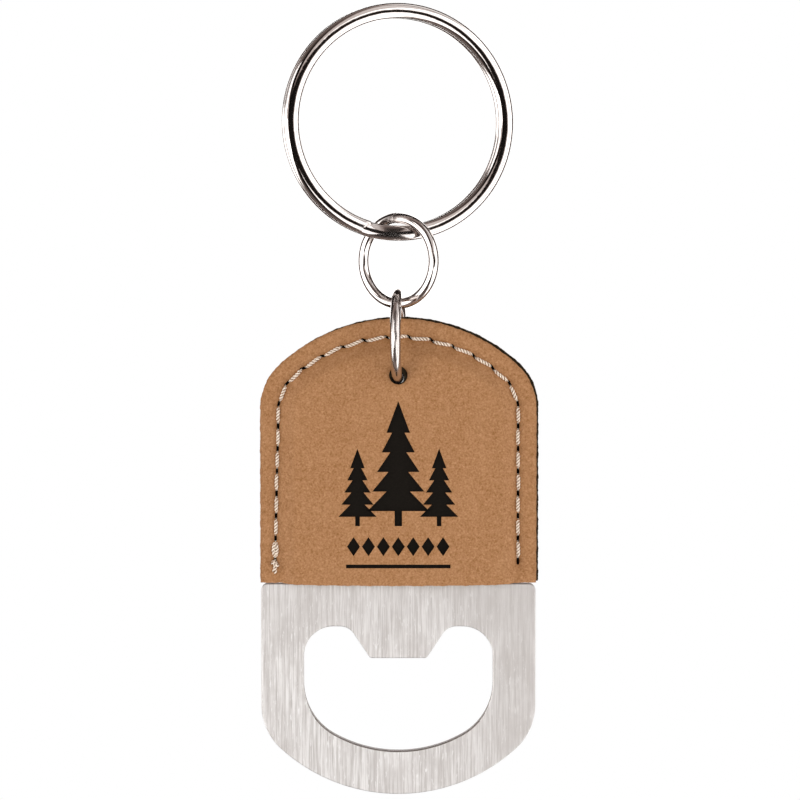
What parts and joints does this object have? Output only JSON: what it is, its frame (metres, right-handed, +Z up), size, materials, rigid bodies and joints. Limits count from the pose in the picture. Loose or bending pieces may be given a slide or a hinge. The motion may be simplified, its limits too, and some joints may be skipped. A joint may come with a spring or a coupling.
{
  "type": "keychain bottle opener",
  "caption": "Steel bottle opener plate sewn between two leather covers, hung by two jump rings from a split key ring.",
  "frame": {"origin": "inside of the key ring's top, where it hangs from a hook or a pocket clip", "axes": "+Z up with the object hanging, front cover facing -Y, +X to the right"},
  "size_m": [0.0379, 0.013, 0.1077],
  "materials": {
    "steel": "brushed lengthwise",
    "skin": "matt tan, finely grained",
    "core": "matt black",
    "thread": "cream twisted thread",
    "ring": "bright nickel"
  },
  "bodies": {
    "key_ring": {"key_ring": "ring"},
    "link_ring": {"link_ring": "ring"},
    "jump_ring": {"jump_ring": "ring"},
    "tag": {"opener_plate": "steel", "front_core": "core", "front_skin": "skin", "back_core": "core", "back_skin": "skin", "needle_thread": "thread", "bobbin_thread": "thread"}
  },
  "joints": [
    {"name": "link_swing", "type": "hinge", "parent": "key_ring", "child": "link_ring", "pos_m": [0, 0, -0.02905], "axis": [0.9659, 0.2588, 0], "range_deg": [-85, 85]},
    {"name": "jump_swing", "type": "hinge", "parent": "link_ring", "child": "jump_ring", "pos_m": [0, 0, -0.03863], "axis": [0.8192, -0.5736, 0], "range_deg": [-70, 70]},
    {"name": "tag_swing", "type": "hinge", "parent": "jump_ring", "child": "tag", "pos_m": [0, 0, -0.04875], "axis": [0.0698, 0.9976, 0], "range_deg": [-25, 25]}
  ]
}
